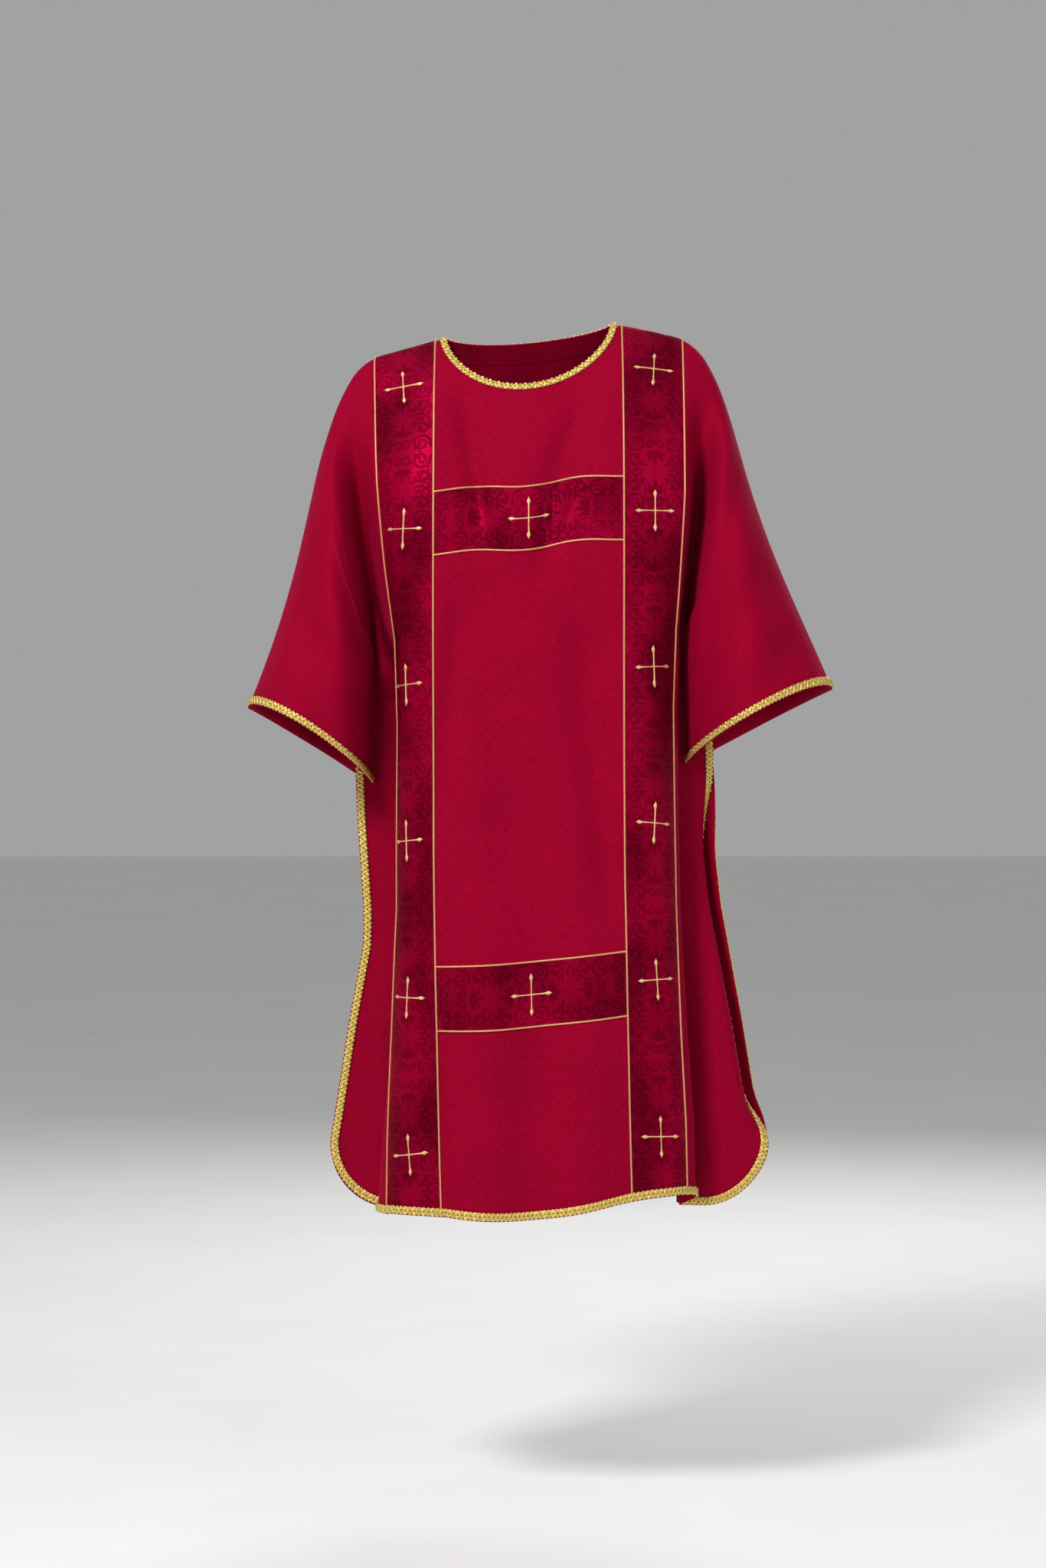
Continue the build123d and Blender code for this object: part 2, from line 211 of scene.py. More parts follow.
def thread(side):
    """How far out and down a thread hangs from the shoulder, against its length."""
    w = np.linspace(0, 1.3, 1301)
    steep, reach = STEEP[side]
    slope = math.radians(steep) * np.clip(1 - w / reach, 0, 1) ** 1.5
    out = np.concatenate([[0], np.cumsum(np.sin(slope[:-1]) * w[1])])
    down = np.concatenate([[0], np.cumsum(np.cos(slope[:-1]) * w[1])])
    return w, out, down


THREAD = {side: thread(side) for side in (FRONT, BACK)}


def section(q, left, drop, side):
    """Width reached and distance turned back, following the cloth out from the centre line."""
    start = by_hand(FOLD_START, left, drop)
    out = np.clip((drop - EDGE_SPAN[0]) / EDGE_SPAN[1], 0, 1)
    edge = UNDERARM[0] + (HEM_HALF - UNDERARM[0]) * out
    rolled = grow(drop, ROLL_ON) * (1 - grow(drop, ROLL_OFF))
    roll = np.where(left, 0, np.radians(EDGE_ROLL[side])) * rolled
    turn = np.radians(by_hand(TURN, left, drop))
    fold = np.radians(by_hand(FOLD, left, drop))
    flare = np.radians(by_hand(FLARE, left, drop))
    hold = by_hand(FOLD_HOLD, left, drop)
    steps = 100
    x, back = np.zeros_like(q), np.zeros_like(q)
    for k in range(steps):
        at = q * (k + 0.5) / steps
        heading = turn * np.clip((at - TURN_START) / (BOARD - TURN_START), 0, 1)
        heading = heading + (fold - turn) * smooth((at - start) / FOLD_TURN)
        heading = heading + (flare - fold) * smooth((at - start - FOLD_TURN - hold) / FOLD_RETURN)
        heading = heading + roll * grow(at - edge, ROLL_ACROSS)
        x += np.cos(heading) * q / steps
        back += np.sin(heading) * q / steps
    return x, back


def body_place(q, v, left, side):
    """x, forward and z of the body of the garment, before lean and sway."""
    length = v - top_v(q)
    rows, out, down = THREAD[side]
    forward = np.interp(length, rows, out)
    drop = np.interp(length, rows, down)
    held = np.minimum(q, BOARD)
    z = fold_place(held)[1] - drop - (top_v(q) - top_v(held))
    x, back = section(q, left, -z, side)
    forward = forward + BELLY * grow(-z, BELLY_SPAN) - back * smooth(length / TURN_FADE)
    z = z + drop - np.hypot(drop, RIDGE_R) + RIDGE_R / 3
    return x, forward, z


def rib_place(q, v, left, side):
    """The sleeve: ribs that run from the shoulder fold round to the underarm seam."""
    first, tan = UNDERARM[0], math.tan(TOP_SLOPE)
    top = q.copy()
    for _ in range(RIB_ROUNDS):
        r = np.clip((top - first) / (CUFF - first), 0, 1)
        top = q + tan * r * (v - top_v(top))
    r = np.clip((top - first) / (CUFF - first), 0, 1)
    w = np.hypot(top - q, v - top_v(top))
    t = np.clip(w / rib_length(r), 0, 1.05)
    x0, z0 = fold_place(top)
    x0 = x0 + np.where(left, -CUFF_SPREAD, CUFF_SPREAD) * smooth(r)
    x1, z1 = table(SEAM_X, r), table(SEAM_Z, r)
    share = (1 - RIB_EASE) * t + RIB_EASE * (1 - np.cos(np.pi * t)) / 2
    bow = np.sin(np.pi * t)
    lift = CUFF_LIFT * smooth(r) * bow if side == FRONT else 0
    return x0 + (x1 - x0) * share, table(BULGE[side], r) * bow, z0 + (z1 - z0) * share + lift


def rib_length(r):
    """Cloth length of a rib, from the fold to the seam, at a share of the way to the cuff."""
    return SLEEVE_DEPTH + (UNDERARM[1] - top_v(UNDERARM[0]) - SLEEVE_DEPTH) * (1 - r) ** 5


def armpit_place(q, v, left, side):
    """The cloth from the board's edge to the first rib, with a valley that takes up its width."""
    m = np.clip((q - BOARD) / (UNDERARM[0] - BOARD), 0, 1)
    w = v - top_v(q)
    inner = body_place(np.full_like(q, BOARD), w + top_v(BOARD), left, side)
    outer = rib_place(np.full_like(q, UNDERARM[0]), w + top_v(UNDERARM[0]), left, side)
    (x, z), (xi, zi) = fold_place(q), fold_place(np.array(BOARD))
    xo, zo = fold_place(np.array(UNDERARM[0]))
    near_top = 1 - smooth(w / RIDGE_FADE)
    valley = VALLEY * np.sin(np.pi * m) ** 2 * grow(w, VALLEY_SPAN)
    return (inner[0] + (outer[0] - inner[0]) * m + (x - xi - (xo - xi) * m) * near_top,
            inner[1] + (outer[1] - inner[1]) * smooth(m) - valley,
            inner[2] + (outer[2] - inner[2]) * m + (z - zi - (zo - zi) * m) * near_top)


def place(u, v, side):
    """Place in space of a pattern place."""
    u, v = np.broadcast_arrays(np.asarray(u, float), np.asarray(v, float))
    q, left = np.abs(u), u < 0
    body = body_place(q, v, left, side)
    sleeve = rib_place(np.maximum(q, UNDERARM[0]), v, left, side)
    armpit = armpit_place(q, v, left, side)
    # turning about the underarm corner, from the sleeve to the side of the body
    angle = np.degrees(np.arctan2(v - UNDERARM[1], UNDERARM[0] - q))
    weight = grow(angle, SIDE_ON) * (1 - grow(angle, SIDE_OFF))
    weight = np.where(q <= BOARD, 1, weight)
    parts = [np.where(q < UNDERARM[0], a, s) for a, s in zip(armpit, sleeve)]
    x, forward, z = [p + (b - p) * weight for p, b in zip(parts, body)]
    x = np.where(left, -x, x)
    on_body = 1 - smooth((q - BOARD) / SLEEVE_FADE) * (v < SLEEVE_END)
    x = x + SWAY * np.clip((-z - SWAY_SPAN[0]) / SWAY_SPAN[1], 0, 2) ** 2 * on_body
    z = z + LEAN * np.sin(np.pi / 2 * np.clip(x / BOARD, -1, 1))
    return np.stack([x, side * forward, z], axis=-1)


def dent(u, v, line, width, depth, start, end):
    """A soft valley along line, a table of (v, u), between two levels."""
    away = (u - table(line, v)) / width
    fade = grow(v, (start, 0.08)) * (1 - grow(v, (end, 0.10)))
    return -depth * np.exp(-away ** 2) * fade


def body_waves(u, v, side):
    """Gentle waves of the body, deeper in the skirt."""
    (height, spacing), (deep, wide), (rumple, across, along) = DRAPE_WAVE, SKIRT_WAVE, RUMPLE
    skirt = grow(v, (0.55, 0.55))
    off = height * wave(u / spacing + 0.35 * np.sin(4.3 * v + 0.6))
    off = off + deep * skirt * np.sin(2 * np.pi * (u / wide + 0.16 * np.sin(5 * v)) + 0.9 * side)
    return off + rumple * wave(v / along + 1.7 * u) * wave(u / across - v / 0.6)


def sleeve_waves(u, v, side):
    """Waves that run aslant down the sleeves."""
    height, spacing = SLEEVE_WAVE
    sleeve = grow(np.abs(u), (0.36, 0.10)) * (1 - grow(v, (0.49, 0.05)))
    slant = np.sin(2 * np.pi * (v / spacing - np.abs(u) / 0.26) + 1.3 * np.sign(u) + side)
    return height * sleeve * slant * grow(v - top_v(u), (0.03, 0.1)) * (1 - grow(v, (0.40, 0.07)))


def folds(u, v, side):
    """Soft folds: how far the cloth stands off its smooth shape."""
    off = body_waves(u, v, side)
    for line, width, depth, start, end in DENTS:
        off = off + dent(u, v, line, width, depth, start, end)
    off = off + sleeve_waves(u, v, side)
    return off * grow(v - top_v(u), (0.02, 0.08))


def band_wave(u, v):
    """How the bands ripple up and down across the chest and the knees."""
    (chest, chest_reach), (knee, knee_reach) = CHEST_RIPPLE, KNEE_RIPPLE
    inside = np.clip(1 - (u / RIPPLE_HALF) ** 2, 0, 1)
    swing = CHEST_RISE + CHEST_SWING * np.cos(2 * np.pi * (u - 0.075) / 0.16)
    return inside * (swing * np.exp(-((v - chest) / chest_reach) ** 2)
                     - KNEE_SAG * np.exp(-((v - knee) / knee_reach) ** 2))


def sewn_place(u, v, side):
    """place(), carried over the shoulder fold, with front and back drawn together at the underarm."""
    over = v < top_v(u)
    v = np.where(over, 2 * top_v(u) - v, v)
    hung = {one: place(u, v, one) for one in (FRONT, BACK)}
    mean = (hung[FRONT] + hung[BACK]) / 2
    away = np.hypot(np.abs(u) - UNDERARM[0], v - UNDERARM[1])
    sewn = (1 - smooth(away / SEWN_R))[..., None]
    found = np.where(over[..., None], hung[-side], hung[side])
    found = found + (mean - found) * sewn
    off = np.where(over, folds(u, v, -side), folds(u, v, side))
    here = np.where(over, -side, side)
    found[..., 1] += here * off
    found[..., 2] += band_wave(u, v) * (here == FRONT)
    return found


def drape():
    """The hung cloth on a grid of the pattern."""
    u = np.arange(-U_MAX, U_MAX + GRID / 2, GRID)
    v = np.arange(V_MIN, V_MAX + GRID / 2, GRID)
    u, v = np.meshgrid(u, v, indexing="ij")
    return {side: sewn_place(u, v, side) for side in (FRONT, BACK)}


def grid_normals(points, side):
    """Outward normals of the hung cloth on the grid."""
    across = np.gradient(points, axis=0)
    along = np.gradient(points, axis=1)
    return unit(np.cross(across, along) * side)


HUNG = drape()
NORMALS = {side: grid_normals(points, side) for side, points in HUNG.items()}


def cubic(at, lines):
    """Weights of the four grid lines round each place, for a Catmull-Rom curve."""
    low = np.clip(np.floor(at).astype(int), 1, lines - 3)
    t = at - low
    weights = (-t / 2 + t * t - t ** 3 / 2, 1 - 2.5 * t * t + 1.5 * t ** 3,
               t / 2 + 2 * t * t - 1.5 * t ** 3, -t * t / 2 + t ** 3 / 2)
    return low, weights


def cloth_at(u, v, side, lift=0.0):
    """Points and outward normals on the hung cloth, raised by lift."""
    u, v = np.broadcast_arrays(np.asarray(u, float), np.asarray(v, float))
    points, normals = HUNG[side], NORMALS[side]
    iu, wu = cubic((u + U_MAX) / GRID, points.shape[0])
    iv, wv = cubic((v - V_MIN) / GRID, points.shape[1])
    found, normal = np.zeros((2, *u.shape, 3))
    for a in range(4):
        for b in range(4):
            weight = (wu[a] * wv[b])[..., None]
            found += points[iu - 1 + a, iv - 1 + b] * weight
            normal += normals[iu - 1 + a, iv - 1 + b] * weight
    normal = unit(normal)
    return found + normal * np.asarray(lift)[..., None], normal


# ---- meshes

def new_object(name, points, faces, uvs=None, attributes=None, smooth_shaded=True):
    """A mesh object from points, faces, a pattern place and named values for each point."""
    mesh = bpy.data.meshes.new(name)
    mesh.from_pydata(points.reshape(-1, 3).tolist(), [], faces.tolist())
    if uvs is not None:
        corner = np.empty(len(mesh.loops), dtype=np.int32)
        mesh.loops.foreach_get("vertex_index", corner)
        layer = mesh.uv_layers.new(name="pattern")
        layer.data.foreach_set("uv", uvs.reshape(-1, 2)[corner].ravel().astype(np.float32))
    for key, values in (attributes or {}).items():
        made = mesh.attributes.new(key, "FLOAT", "POINT")
        made.data.foreach_set("value", values.ravel().astype(np.float32))
    if smooth_shaded:
        mesh.shade_smooth()
    mesh.update()
    obj = bpy.data.objects.new(name, mesh)
    bpy.context.scene.collection.objects.link(obj)
    return obj


def lattice_faces(rows, columns, first=0, flip=False, closed=False):
    """Quads of a lattice whose points run along its rows."""
    r = np.arange(rows - 1)[:, None]
    c = np.arange(columns if closed else columns - 1)[None, :]
    c1 = (c + 1) % columns
    a, b = r * columns + c, r * columns + c1
    quads = np.stack([a, a + columns, b + columns, b], axis=-1).reshape(-1, 4)
    if flip:
        quads = quads[:, ::-1]
    return quads + first


def cloth_lattices(name, lattices, lift=0.0, thickness=0.0, attributes=None, weld=False):
    """One piece of cloth from lattices of pattern places, each (u, v, side)."""
    points, uvs, faces, first = [], [], [], 0
    for u, v, side in lattices:
        found = cloth_at(u, v, side, lift)[0] if lift else sewn_place(u, v, side)
        points.append(found.reshape(-1, 3))
        uvs.append(np.stack([u, v * -side], axis=-1).reshape(-1, 2))
        faces.append(lattice_faces(*u.shape, first=first, flip=side == BACK))
        first += u.size
    points, faces, uvs = [np.concatenate(part) for part in (points, faces, uvs)]
    obj = new_object(name, points, faces, uvs, attributes)
    if weld:
        welded(obj)
    if thickness:
        thickened(obj, thickness)
    obj["flat_area"] = float(sum(flat_area(u, v) for u, v, side in lattices))
    return obj


def flat_area(u, v):
    """Area of a lattice in the pattern."""
    du, dv = np.diff(u, axis=1)[:-1], np.diff(v, axis=0)[:, :-1]
    du_down, dv_across = np.diff(u, axis=0)[:, :-1], np.diff(v, axis=1)[:-1]
    return np.abs(du * dv - du_down * dv_across).sum()


def thickened(obj, thickness):
    """Gives the cloth its thickness, inward."""
    solid = obj.modifiers.new("thickness", "SOLIDIFY")
    solid.thickness = thickness
    solid.offset = -1
    apply_modifiers(obj)


def welded(obj):
    """Joins the points that front and back share."""
    shape = bmesh.new()
    shape.from_mesh(obj.data)
    bmesh.ops.remove_doubles(shape, verts=shape.verts, dist=2e-5)
    bmesh.ops.dissolve_degenerate(shape, edges=shape.edges, dist=1e-6)
    shape.to_mesh(obj.data)
    shape.free()


def apply_modifiers(obj):
    """Keeps the mesh that the modifiers make."""
    graph = bpy.context.evaluated_depsgraph_get()
    mesh = bpy.data.meshes.new_from_object(obj.evaluated_get(graph))
    obj.modifiers.clear()
    obj.data = mesh


def tube(points, normals, radius, sides, closed=False, twist=None, lobes=0.0):
    """Rings of a strand along points: places and quads. twist turns a two-lobed section."""
    ahead = np.roll(points, -1, axis=0) - np.roll(points, 1, axis=0)
    if not closed:
        ahead[0], ahead[-1] = points[1] - points[0], points[-1] - points[-2]
    beside = unit(np.cross(unit(ahead), normals))
    angle = np.arange(sides) * 2 * np.pi / sides
    turn = np.zeros(len(points)) if twist is None else twist
    size = radius * (1 - lobes + lobes * np.cos(angle[None, :] - turn[:, None]) ** 2)
    ring = (points[:, None, :] + beside[:, None, :] * (np.cos(angle) * size)[..., None]
            + normals[:, None, :] * (np.sin(angle) * size)[..., None])
    rings = len(points) + 1 if closed else len(points)
    faces = lattice_faces(rings, sides, closed=True) % (len(points) * sides)
    return ring.reshape(-1, 3), faces


def joined(name, parts):
    """One object from several (points, faces)."""
    points, faces, first = [], [], 0
    for found, quads in parts:
        points.append(found)
        faces.append(quads + first)
        first += len(found)
    return new_object(name, np.concatenate(points), np.concatenate(faces))


# ---- cloth

# levels number the rows of the body: 0 at its top edge, LAST at its hem
LAST = HEM_V - HEM_RISE
CORNER_LEVEL = LAST - CORNER_R     # where the corners start to round
SEAM_TOP = float(top_v(UNDERARM[0]))
SLIT_LEVEL = LAST * (UNDERARM[1] - SEAM_TOP) / (LAST - SEAM_TOP)


def side_half(level):
    """Half width of the body at a level: armhole, slit, rounded corner."""
    out = smooth((level - ARMHOLE_LEVEL) / (SLIT_LEVEL - ARMHOLE_LEVEL))
    armhole = BOARD + (UNDERARM[0] - BOARD) * out
    down = np.clip((level - SLIT_LEVEL) / (CORNER_LEVEL - SLIT_LEVEL), 0, 1)
    half = np.where(level <= SLIT_LEVEL, armhole, UNDERARM[0] + (HEM_HALF - UNDERARM[0]) * down)
    below = np.clip(level - CORNER_LEVEL, 0, CORNER_R)
    return half - CORNER_R + np.sqrt(CORNER_R ** 2 - below ** 2)


def level_v(u, level, top):
    """Where a level lies in the pattern. The last ones sink past the right pipe fold."""
    share = level / LAST
    sunk = RIGHT_LONGER * smooth((u - BOARD) / 0.07) * share ** 8
    return top + (hem_v(u) - top) * share + sunk


# rows above the underarm, beside the slit and round the corner; columns from the centre line
# to the neck point and on to the board's edge; columns of the armpit and of the sleeve
UPPER_ROWS, SLIT_ROWS, CORNER_ROWS = 64, 87, 20
NECK_COLUMNS, BOARD_COLUMNS = 18, 13
ARMPIT_COLUMNS, SLEEVE_COLUMNS = 20, 46
# columns past the board, as shares of the way to the edge: closer together in the pipe folds
SIDE_SHARES = np.concatenate([np.linspace(0, 0.56, 21), np.linspace(0.56, 1, 9)[1:]])


def body_levels():
    """Levels of the rows of the body, from its top edge to its hem."""
    upper = np.linspace(0, SLIT_LEVEL, UPPER_ROWS + 1)
    straight = np.linspace(SLIT_LEVEL, CORNER_LEVEL, SLIT_ROWS + 1)
    corner = CORNER_LEVEL + CORNER_R * np.sin(np.linspace(0, np.pi / 2, CORNER_ROWS + 1))
    return np.concatenate([upper, straight[1:], corner[1:]])


def body_lattice(side):
    """One panel of the body, from one side edge to the other."""
    levels = body_levels()
    half = side_half(levels)[:, None]
    inside = np.sin(np.linspace(0, np.pi / 2, NECK_COLUMNS + 1))[None, :] * NECK_HALF
    board = np.linspace(NECK_HALF, BOARD, BOARD_COLUMNS + 1)[None, 1:]
    flat = np.concatenate([inside, board], axis=1)
    right = np.concatenate([np.repeat(flat, len(levels), axis=0),
                            BOARD + SIDE_SHARES[None, 1:] * (half - BOARD)], axis=1)
    u = np.concatenate([-right[:, :0:-1], right], axis=1)
    neck = NECK_DROP[side] * np.sqrt(np.clip(1 - (u / NECK_HALF) ** 2, 0, 1))
    top = np.where(np.abs(u) < NECK_HALF, neck, top_v(u))
    return u, level_v(u, levels[:, None], top), side


def sleeve_lattice(hand, side):
    """From the cut at the edge of the body to the first rib, and along the ribs to the cuff."""
    levels = body_levels()[:UPPER_ROWS + 1]
    cut_u = side_half(levels)
    cut_v = level_v(cut_u, levels, top_v(cut_u))
    t = np.clip((cut_v - top_v(cut_u)) / (cut_v[-1] - top_v(cut_u)[-1]), 0, 1)
    rib_u = np.full_like(t, UNDERARM[0])
    rib_v = top_v(UNDERARM[0]) + t * (cut_v[-1] - top_v(UNDERARM[0]))
    m = np.linspace(0, 1, ARMPIT_COLUMNS + 1)[None, :]
    web_u = cut_u[:, None] + (rib_u - cut_u)[:, None] * m
    web_v = cut_v[:, None] + (rib_v - cut_v)[:, None] * m
    r = np.linspace(0, 1, SLEEVE_COLUMNS + 1)[None, 1:]
    top = UNDERARM[0] + (CUFF - UNDERARM[0]) * r
    tilt = math.tan(TOP_SLOPE) * r
    down = t[:, None] * rib_length(r) / np.sqrt(1 + tilt ** 2)
    u = np.concatenate([web_u, top - tilt * down], axis=1)
    v = np.concatenate([web_v, top_v(top) + down], axis=1)
    if hand < 0:
        u, v = -u[:, ::-1], v[:, ::-1]
    return u, v, side


def cuff_path(hand):
    """The cuff's edge round from the fold, down the front and up the back: u, v, side, inward."""
    parts = []
    for side in (FRONT, BACK):
        t = (np.arange(230) + 0.5) / 230
        t = t if side == FRONT else 1 - t
        down = t * SLEEVE_DEPTH * math.cos(TOP_SLOPE)
        u = hand * (CUFF - math.tan(TOP_SLOPE) * down)
        v = top_v(np.array(CUFF)) + down
        inward = np.tile([-hand * math.cos(TOP_SLOPE), -math.sin(TOP_SLOPE)], (len(t), 1))
        parts.append((u, v, np.full(len(t), side), inward))
    return [np.concatenate(column) for column in zip(*parts)]


def neck_path():
    """The neckline round from the left, along the front and back: u, v, side, inward."""
    parts = []
    for side in (FRONT, BACK):
        angle = (np.arange(160) + 0.5) / 160 * np.pi - np.pi / 2
        angle = angle if side == FRONT else -angle
        drop = NECK_DROP[side]
        u, v = NECK_HALF * np.sin(angle), drop * np.cos(angle)
        inward = unit(np.stack([np.sin(angle) / NECK_HALF, np.cos(angle) / drop], axis=-1))
        parts.append((u, v, np.full(len(u), side), inward))
    return [np.concatenate(column) for column in zip(*parts)]


def half_edge(hand):
    """One underarm down the slit, round the corner and along the hem to the middle."""
    round_corner = CORNER_LEVEL + CORNER_R * np.sin(np.linspace(0, np.pi / 2, 80))
    slit = np.linspace(SLIT_LEVEL + 0.004, CORNER_LEVEL, 300)
    levels = np.concatenate([slit, round_corner[1:]])
    hem = np.linspace(HEM_HALF - CORNER_R, 0, 150)[1:]
    u = hand * np.concatenate([side_half(levels), hem])
    levels = np.concatenate([levels, np.full(len(hem), LAST)])
    return u, level_v(u, levels, top_v(u))


def edge_path(side):
    """The slits, rounded corners and hem of one panel, from one underarm round to the other."""
    u, v = [np.concatenate([right, left[-2::-1]]) for right, left in zip(half_edge(1), half_edge(-1))]
    along = np.concatenate([[0], np.cumsum(np.hypot(np.diff(u), np.diff(v)))])
    at = np.arange(0, along[-1], BRAID_STEP)
    u, v = np.interp(at, along, u), np.interp(at, along, v)
    du, dv = np.gradient(u), np.gradient(v)
    inward = unit(np.stack([-dv, du], axis=-1))
    return u, v, np.full(len(u), side), inward


def on_cloth(u, v, side, lift):
    """cloth_at() where the places may change side along the way."""
    points, normals = np.zeros((2, *u.shape, 3))
    for one in (FRONT, BACK):
        here = side == one
        if here.any():
            found = cloth_at(u[here], v[here], one, np.broadcast_to(lift, u.shape)[here])
            points[here], normals[here] = found
    return points, normals


def resampled(path, step, closed):
    """The path at even steps in space."""
    u, v, side, inward = path
    points = on_cloth(u, v, side, 0.0)[0]
    gaps = np.linalg.norm(np.diff(points, axis=0), axis=1)
    along = np.concatenate([[0], np.cumsum(gaps)])
    count = int(round(along[-1] / step))
    at = np.linspace(0, along[-1], count, endpoint=not closed)
    nearest = np.clip(np.searchsorted(along, at), 0, len(along) - 1)
    new_inward = np.stack([np.interp(at, along, inward[:, k]) for k in (0, 1)], axis=-1)
    u, v = np.interp(at, along, u), np.interp(at, along, v)
    return (u, v, side[nearest], unit(new_inward)), along[-1]


def offset_run(path, off, lift):
    """Points and normals a distance off to the inner side of a path, raised by lift."""
    u, v, side, inward = path
    return on_cloth(u + inward[:, 0] * off, v + inward[:, 1] * off, side, lift)


def gimp_tape(path, width, closed):
    """The flat tape under the strands, with its edges turned down to the cloth."""
    edge = ((0.0014, 0.0002), (0.0022, 0.0010))
    profile = edge + tuple((width - off, lift) for off, lift in edge[::-1])
    tape = np.stack([offset_run(path, off, lift)[0] for off, lift in profile], axis=1)
    if closed:
        tape = np.concatenate([tape, tape[:1]])
    return tape.reshape(-1, 3), lattice_faces(*tape.shape[:2])


def gimp_braid(name, path, closed=False, width=BRAID_W):
    """Two doubled strands that loop over each other across a narrow tape."""
    path, length = resampled(path, BRAID_STEP, closed)
    turns = 2 * np.pi * round(length / BRAID_PITCH)
    phase = np.linspace(0, turns, len(path[0]), endpoint=not closed)
    parts = []
    for k in range(2):
        for inset, radius, lag in GIMP_STRANDS:
            swing = phase + k * np.pi + lag
            off = width / 2 + (width / 2 - inset) * np.sin(swing)
            lift = GIMP_LIFT + GIMP_CROSSING * np.cos(2 * swing + k * np.pi)
            parts.append(tube(*offset_run(path, off, lift), radius, 6, closed))
    return joined(name, parts + [gimp_tape(path, width, closed)])


def line(start, end, side):
    """A straight run in the pattern, in short steps."""
    count = max(int(math.hypot(end[0] - start[0], end[1] - start[1]) / CORD_STEP), 2)
    u, v = np.linspace(start[0], end[0], count), np.linspace(start[1], end[1], count)
    return u, v, np.full(count, side)


def twisted_cord(name, run):
    """A two-ply cord along a straight run of pattern places."""
    points, normals = on_cloth(*run, CORD_LIFT)
    along = np.concatenate([[0], np.cumsum(np.linalg.norm(np.diff(points, axis=0), axis=1))])
    twist = along * 2 * np.pi / CORD_PITCH
    return joined(name, [tube(points, normals, CORD_R, 10, twist=twist, lobes=0.42)])


# ---- damask and crosses

def near_curve(a, s, curve, widths):
    """How deep each place lies in a stroke, 0 at its edge and positive inside."""
    best = np.full(a.shape, -1.0)
    for (ca, cs), w in zip(curve, widths):
        best = np.maximum(best, w - np.hypot(a - ca, s - cs))
    return best


def leaf(a, s, base, heading, length, width):
    """A pointed leaf from its base: positive inside."""
    da, ds = a - base[0], s - base[1]
    along = (da * math.sin(heading) + ds * math.cos(heading)) / length
    off = np.abs(da * math.cos(heading) - ds * math.sin(heading))
    inside = np.clip(along, 0, 1)
    half = width * np.sin(np.pi * inside ** 0.8) ** 0.9
    return np.where((along > 0) & (along < 1), half - off, -np.abs(off) - 0.001)


def scroll(turns, start, radius, heading, spin):
    """Centre line of a stem that winds into a spiral."""
    at = np.linspace(0, 1, 46)
    angle = heading + spin * turns * 2 * np.pi * at
    size = radius * (1 - at) ** 0.75 + 0.0012
    centre = (start[0] - radius * math.cos(heading), start[1] - radius * math.sin(heading))
    return [(centre[0] + r * math.cos(t), centre[1] + r * math.sin(t)) for r, t in zip(size, angle)]


# stems of the damask: turns, outer end (across, along), radius, heading, spin
SCROLLS = ((1.5, (0.0345, 0.012), 0.0100, 0.1, 1), (1.3, (0.0180, 0.034), 0.0075, 2.8, -1),
           (1.2, (0.0370, 0.040), 0.0065, -0.5, -1), (1.1, (0.0105, 0.012), 0.0050, 0.4, 1))
# leaves: base (across, along), heading, length, half width
LEAVES = (((0.0, 0.020), 0.0, 0.022, 0.0030), ((0.0008, 0.021), 0.6, 0.018, 0.0026),
          ((0.0015, 0.022), 1.15, 0.014, 0.0022), ((0.0200, 0.026), 0.3, 0.014, 0.0020),
          ((0.0290, 0.024), -0.6, 0.012, 0.0020), ((0.0330, 0.030), 0.9, 0.008, 0.0016),
          ((0.0150, 0.003), 0.9, 0.013, 0.0020), ((0.0260, 0.044), -1.3, 0.012, 0.0018),
          ((0.0100, 0.040), 1.7, 0.010, 0.0018), ((0.0380, 0.004), -0.4, 0.012, 0.0016))
DAMASK_PITCH = CROSS_PITCH / 2


def damask(a, s):
    """Share of figure in the damask. a is across from the axis of the strip, s along it."""
    a = np.abs(a)
    s = (s + DAMASK_PITCH / 2) % DAMASK_PITCH - DAMASK_PITCH / 2
    figure = np.full(a.shape, -1.0)
    for sign in (1, -1):
        for base, heading, length, width in LEAVES:
            figure = np.maximum(figure, leaf(a, sign * s, base, heading, length, width))
        for turns, start, radius, heading, spin in SCROLLS:
            curve = scroll(turns, start, radius, heading, spin)
            widths = np.linspace(0.0017, 0.0009, len(curve))
            figure = np.maximum(figure, near_curve(a, sign * s, curve, widths))
    along = np.linspace(-0.5, 0.5, 60)
    stem = [(0.023 + 0.010 * math.sin(t * 2 * math.pi), DAMASK_PITCH * t) for t in along]
    figure = np.maximum(figure, near_curve(a, s, stem, [0.0010] * len(stem)))
    return smooth(figure / 0.0009 + 0.5)


def satin_strip(name, u, v, side, a, s):
    """A strip of damask. a and s are as in damask()."""
    return cloth_lattices(name, [(u, v, side)], lift=SATIN_LIFT, attributes={"figure": damask(a, s)})


# half width of an arm of a cross, against share of the way to its tip
CROSS_PROFILE = ((0.0, 0.0013), (0.05, 0.0010), (0.30, 0.0008), (0.66, 0.0011), (0.74, 0.0020),
                 (0.80, 0.0027), (0.88, 0.0020), (0.93, 0.0008), (1.0, 0.0))
CROSS_LIFT, CROSS_CROWN = 0.0006, 0.0011


